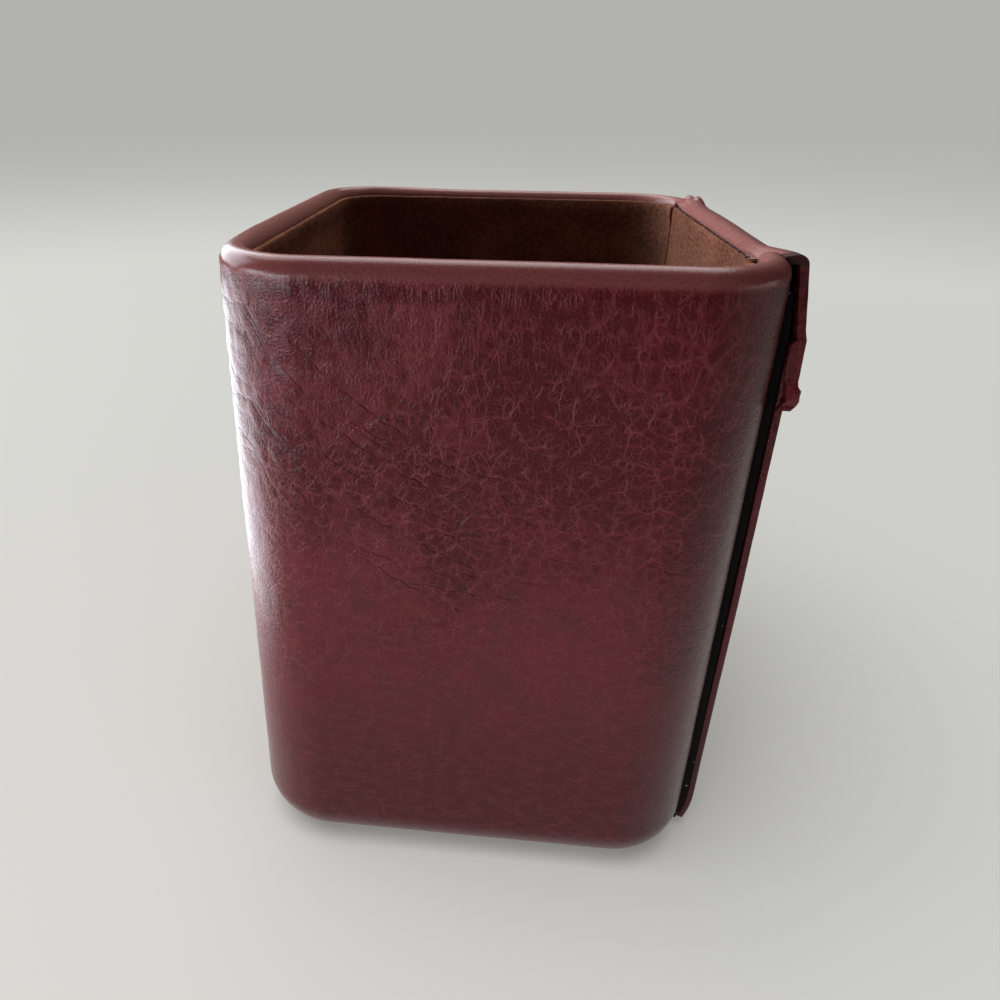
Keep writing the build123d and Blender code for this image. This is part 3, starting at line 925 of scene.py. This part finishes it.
class CUP_OT_saddle(bpy.types.Operator):
    """Model the leather saddle: over the closed side, down outside and wrapped round the strip"""

    bl_idname = "cup.saddle"
    bl_label = "Leather Saddle"

    def execute(self, context):
        sizes = context.scene.cup_sizes
        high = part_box("saddle")[1]
        step = 0.65 * MM

        # Section, in millimetres, along most of the saddle, and at its front end, which is bent tighter
        foot = 84.0
        inner = 34.2
        run = [(inner, 105.1), (40.16, 105.1), (41.5, 95.65), (41.5, 95.05), (42.7, 93.55), (42.7, foot)]
        end = [(inner, 105.05), (40.5, 105.05), (41.95, 96.4), (42.1, 95.4), (42.5, 94.1), (42.8, foot)]
        run = rounded_line(run, (sizes.saddle_shoulder / MM, 0.8, 0.8, 0.8), 6)
        end = rounded_line(end, (1.6, 0.8, 0.5, 0.5), 6)
        section, pulls = [], []
        for here, there, here_end, there_end in zip(run, run[1:], end, end[1:]):
            parts = max(1, round((there - here).length * MM / step))
            for share in (i / parts for i in range(parts)):
                section.append(here.lerp(there, share) * MM)
                pulls.append(here_end.lerp(there_end, share) * MM - section[-1])
        section.append(run[-1] * MM)
        pulls.append((end[-1] - run[-1]) * MM)

        columns = round(2 * high.y / step)
        piece = start_edge("leather_saddle", section[0].x, section[0].y, high.y, columns)
        draw_section(section)
        notch_x = 35.8 * MM
        choose(piece, "FACE", lambda face: abs(face.calc_center_median().y) > sizes.saddle_half
               and face.calc_center_median().x < notch_x)
        bpy.ops.mesh.delete(type="FACE")

        # The lower end is wrapped round the strip's two sides
        facing_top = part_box("seam_facing")[1].z
        choose(piece, "EDGE", lambda edge: edge.is_boundary
               and all(abs(v.co.y) > high.y - TINY and v.co.z < facing_top for v in edge.verts))
        for _ in range(3):
            extrude_by((-step, 0, 0))
        face_out(piece)

        mesh = bmesh.from_edit_mesh(piece.data)
        for vert in mesh.verts:
            point = vert.co
            row = min(range(len(section)), key=lambda i: (section[i] - Vector((point.x, point.z))).length)

            # The top swells towards the back, and its inner edge is turned down
            tight = 1 - smooth_step(point.y, -33 * MM, -23 * MM)
            swell = 0.4 * smooth_step(point.y, -26 * MM, 8 * MM)
            swell *= smooth_step(point.x, 34.5 * MM, 38 * MM)
            swell += 0.25 * tight
            on_top = smooth_step(point.z, 99 * MM, 103 * MM)
            front = 1 - 0.3 * smooth_step(point.y, -29.7 * MM, -25.5 * MM)
            turned = min(1.0, max(0.0, (36.4 * MM - point.x) / (1.3 * MM)))
            tuck = 1.3 * (1 - math.sqrt(1 - turned ** 2)) * front

            # The back end bulges, drops and is pleated
            back = 0.6 * smooth_step(point.y, 21 * MM, 27 * MM)
            back -= 1.1 * smooth_step(point.y, 28 * MM, 30 * MM)
            pleat = noise.noise(point / (1.8 * MM)) * 0.9 * smooth_step(point.y, 22 * MM, 27 * MM)

            # The lower end is crumpled, and the cut inner edge is a little frayed
            crumple = 1 - smooth_step(point.z, 86.5 * MM, 88.5 * MM)
            bulge = 0.5 * math.sin(math.pi * min(1.0, max(0.0, (point.z / MM - foot) / 4)))
            pinch = 0.6 * (1 - smooth_step(point.z, foot * MM, 85.2 * MM))
            lump = 0.8 * noise.noise(Vector((point.y, point.z, point.x)) / (1.6 * MM))
            knob = (lump + bulge - pinch) * crumple
            aside = math.copysign(0.7 * knob, point.y) * (abs(point.y) > high.y - MM)
            fray = noise.noise(Vector((0, point.y, 0)) / (0.9 * MM)) * (row == 0)
            vert.co += Vector((0.6 * fray + knob, aside, (swell + back + pleat - tuck) * on_top)) * MM
            vert.co += Vector((pulls[row].x, 0, pulls[row].y)) * tight
        bmesh.update_edit_mesh(piece.data)
        bpy.ops.object.mode_set(mode="OBJECT")

        # The leather is skived towards its inner edge, and to half where it is wrapped round the strip
        thick = piece.vertex_groups.new(name="full_thickness")
        thinnest = 0.3
        for vert in piece.data.vertices:
            share = thinnest + (1 - thinnest) * smooth_step(vert.co.x, 34 * MM, 36 * MM)
            if abs(vert.co.y) > high.y - 0.2 * MM and vert.co.z < facing_top:
                share = 0.5
            thick.add([vert.index], (share - thinnest) / (1 - thinnest), "REPLACE")
        apply_modifier(piece, "SOLIDIFY", thickness=sizes.leather, offset=-1.0, vertex_group=thick.name,
                       thickness_vertex_group=thinnest)
        piece.vertex_groups.clear()
        apply_modifier(piece, "BEVEL", width=0.18 * MM, segments=2, limit_method="ANGLE")

        def place(point):
            """Place on a plain part of the flat sheet, in millimetres, that goes on over the top."""
            over = max(0.0, 41 * MM - point.x)
            return Vector((point.x + point.y - 0.23, point.z - 2 * MM + over, 0)) / MM

        dress_leather(piece, place, depth=0.06 * MM, node="saddle")

        # The cut ends and edges of the top show dyed edges; the dark edge finish also stands for painted
        # shade along the inner edge, on the ends where the saddle meets the rim, and over the top of the
        # front end
        piece.data.materials.append(make_material("dyed_edge_and_painted_shade", edge_and_shade_material))
        for face in piece.data.polygons:
            centre = face.center
            end_y = high.y if centre.x > notch_x else sizes.saddle_half
            cut_end = abs(face.normal.y) > 0.5 and abs(centre.y) > end_y - 0.5 * MM
            cut_edge = face.normal.x < -0.5 and (centre.x < 35 * MM or abs(centre.y) > sizes.saddle_half)
            front_end_shade = centre.y < -31.8 * MM and centre.x > 37 * MM
            if centre.z > 103.4 * MM and (cut_end or cut_edge or front_end_shade):
                face.material_index = 1
        return {"FINISHED"}


class CUP_OT_pad(bpy.types.Operator):
    """Model the felt pad under the foot"""

    bl_idname = "cup.pad"
    bl_label = "Felt Pad"

    def execute(self, context):
        low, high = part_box("base_pad")
        lifted = 0.05 * MM
        low = low + Vector((0, 0, lifted))
        piece = start_block("felt_pad", low, high)
        choose(piece, "EDGE", lambda edge: edge_run(edge, 2) > TINY)
        pad_round = 4.7 * MM
        bpy.ops.mesh.bevel(offset=pad_round, segments=8, affect="EDGES")
        slice_grid(low, high, 1.5 * MM, (0, 1))
        bpy.ops.object.mode_set(mode="OBJECT")
        roughen(piece, 2 * MM, 0.1 * MM)
        felt = make_material("dark_wool_felt", felt_material)
        finish_piece(piece, felt, "dark_felt", "base_pad")
        return {"FINISHED"}


class CUP_OT_boards(bpy.types.Operator):
    """Give the tub, the closing panel and the strip's board their finishes"""

    bl_idname = "cup.boards"
    bl_label = "Boards"

    def execute(self, context):
        fibre = make_material("pressed_wood_fibreboard", fibreboard_material)
        black = make_material("black_dyed_board", black_board_material)
        for node, material in (("tub_core", fibre), ("closing_panel", fibre), ("seam_board", black)):
            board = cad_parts[node]
            for slot in board.material_slots:
                slot.material = material
        return {"FINISHED"}


def hang_lamp(name, place, target, size, power, tint):
    """Hang a soft lamp at a place, turned to a target and out of sight of the camera."""
    light = bpy.data.lights.new(name, "AREA")
    light.shape = "RECTANGLE"
    light.size, light.size_y = size
    light.energy = power
    light.color = tint
    lamp = bpy.data.objects.new(name, light)
    bpy.context.collection.objects.link(lamp)
    lamp.location = place
    aim = Vector(target) - lamp.location
    lamp.rotation_euler = aim.to_track_quat("-Z", "Y").to_euler()
    lamp.visible_camera = False
    return lamp


class CUP_OT_stage(bpy.types.Operator):
    """Set the pale table, the soft room, the lamps and the camera"""

    bl_idname = "cup.stage"
    bl_label = "Stage"

    def execute(self, context):
        colours = context.scene.cup_colours
        bpy.ops.object.select_all(action="DESELECT")
        bpy.ops.mesh.primitive_plane_add(size=60)
        table = context.object
        table.name = "table"
        material, add = new_material("painted_table")

        # Round the cup the table is shaded, and further off it glows more to the camera
        shown = add("ShaderNodeLightPath", output="Is Camera Ray")
        middle = add(COORD, output="Object")
        middle = add(VECTOR, (middle,), "Value", operation="LENGTH")
        lit = add(RANGE, (middle, 0.05, 0.60, 0.42, 0.85))
        glow = add(MATH, (shown, lit), **TIMES)
        # Near the cup the table also glows to glossy rays, a painted reflection for the leather to mirror
        near = add(RANGE, (middle, 0.12, 0.40, 0.7, 0.0))
        mirrored = add("ShaderNodeLightPath", output="Is Glossy Ray")
        glow = add(MATH, (mirrored, near, glow), **TIMES_PLUS)
        shader = add(PRINCIPLED, {"Base Color": opaque(colours.table), "Roughness": 0.7,
                     "Emission Color": opaque(colours.table), "Emission Strength": glow})
        add(OUTPUT, {"Surface": shader})
        table.data.materials.append(material)

        world = bpy.data.worlds.new("soft_room")
        context.scene.world = world
        world.use_nodes = True
        world.node_tree.nodes.clear()
        add = partial(add_node, world.node_tree)
        shown = add("ShaderNodeLightPath", output="Is Camera Ray")
        level = add(MATH, (shown, 0.82, 0.075), **TIMES_PLUS)
        glow = add("ShaderNodeBackground", {"Color": opaque(colours.table), "Strength": level})
        add("ShaderNodeOutputWorld", {"Surface": glow})

        # One lamp lights the table and the others the cup, so the low lamps leave the table even
        linked = {}
        for name, state in (("kept_dark", "EXCLUDE"), ("table_only", "INCLUDE")):
            linked[name] = bpy.data.collections.new(name)
            linked[name].objects.link(table)
            linked[name].collection_objects[0].light_linking.link_state = state
        for *lamp, receivers in LAMPS:
            hang_lamp(*lamp).light_linking.receiver_collection = linked[receivers]

        # Camera of the photograph, as fitted: turns in degrees, place in millimetres, lens in pixels
        pitch, yaw, roll = (math.radians(a) for a in (26.898, -6.063, -0.539))
        eye = Vector((1.558, -144.80, 123.156)) * MM
        picture_width, focal_length, centre_column = 1000, 794.94, 418.8
        flat = math.cos(pitch)
        ahead = Vector((math.sin(yaw) * flat, math.cos(yaw) * flat, -math.sin(pitch)))
        right = Vector((math.cos(yaw), -math.sin(yaw), 0))
        down = ahead.cross(right)
        level = math.cos(roll) * right + math.sin(roll) * down
        up = math.sin(roll) * right - math.cos(roll) * down
        view = bpy.data.cameras.new("photograph")
        view.sensor_width = 36.0
        view.lens = view.sensor_width * focal_length / picture_width
        view.shift_x = (picture_width / 2 - centre_column) / picture_width
        view.clip_start = 0.005
        camera = bpy.data.objects.new("photograph", view)
        context.collection.objects.link(camera)
        turn = Matrix((level, up, -ahead)).transposed().to_4x4()
        camera.matrix_world = Matrix.Translation(eye) @ turn
        context.scene.camera = camera
        context.scene.view_settings.view_transform = "Standard"
        return {"FINISHED"}


class CUP_PT_panel(bpy.types.Panel):
    """Lists the cup's pieces, sizes and colours"""

    bl_idname = "CUP_PT_panel"
    bl_label = "Pencil Cup"
    bl_space_type = "VIEW_3D"
    bl_region_type = "UI"
    bl_category = "Pencil Cup"

    def draw(self, context):
        for operator in OPERATORS:
            self.layout.operator(operator.bl_idname)
        for group in (context.scene.cup_sizes, context.scene.cup_colours):
            for name in group.bl_rna.properties.keys():
                if name not in ("rna_type", "name"):
                    self.layout.prop(group, name)


OPERATORS = (
    CUP_OT_cover,
    CUP_OT_linings,
    CUP_OT_strip,
    CUP_OT_saddle,
    CUP_OT_pad,
    CUP_OT_boards,
    CUP_OT_stage,
)
CLASSES = (CupSizes, CupColours, *OPERATORS, CUP_PT_panel)


def register():
    """Register the classes and hang the settings on the scene."""
    for cls in CLASSES:
        bpy.utils.register_class(cls)
    bpy.types.Scene.cup_sizes = bpy.props.PointerProperty(type=CupSizes)
    bpy.types.Scene.cup_colours = bpy.props.PointerProperty(type=CupColours)


def unregister():
    """Take the settings off the scene and unregister the classes."""
    del bpy.types.Scene.cup_colours
    del bpy.types.Scene.cup_sizes
    for cls in reversed(CLASSES):
        bpy.utils.unregister_class(cls)


def main():
    """Build every piece in order."""
    register()
    bpy.ops.cup.cover()
    bpy.ops.cup.linings()
    bpy.ops.cup.strip()
    bpy.ops.cup.saddle()
    bpy.ops.cup.pad()
    bpy.ops.cup.boards()
    bpy.ops.cup.stage()


if __name__ == "__main__":
    main()
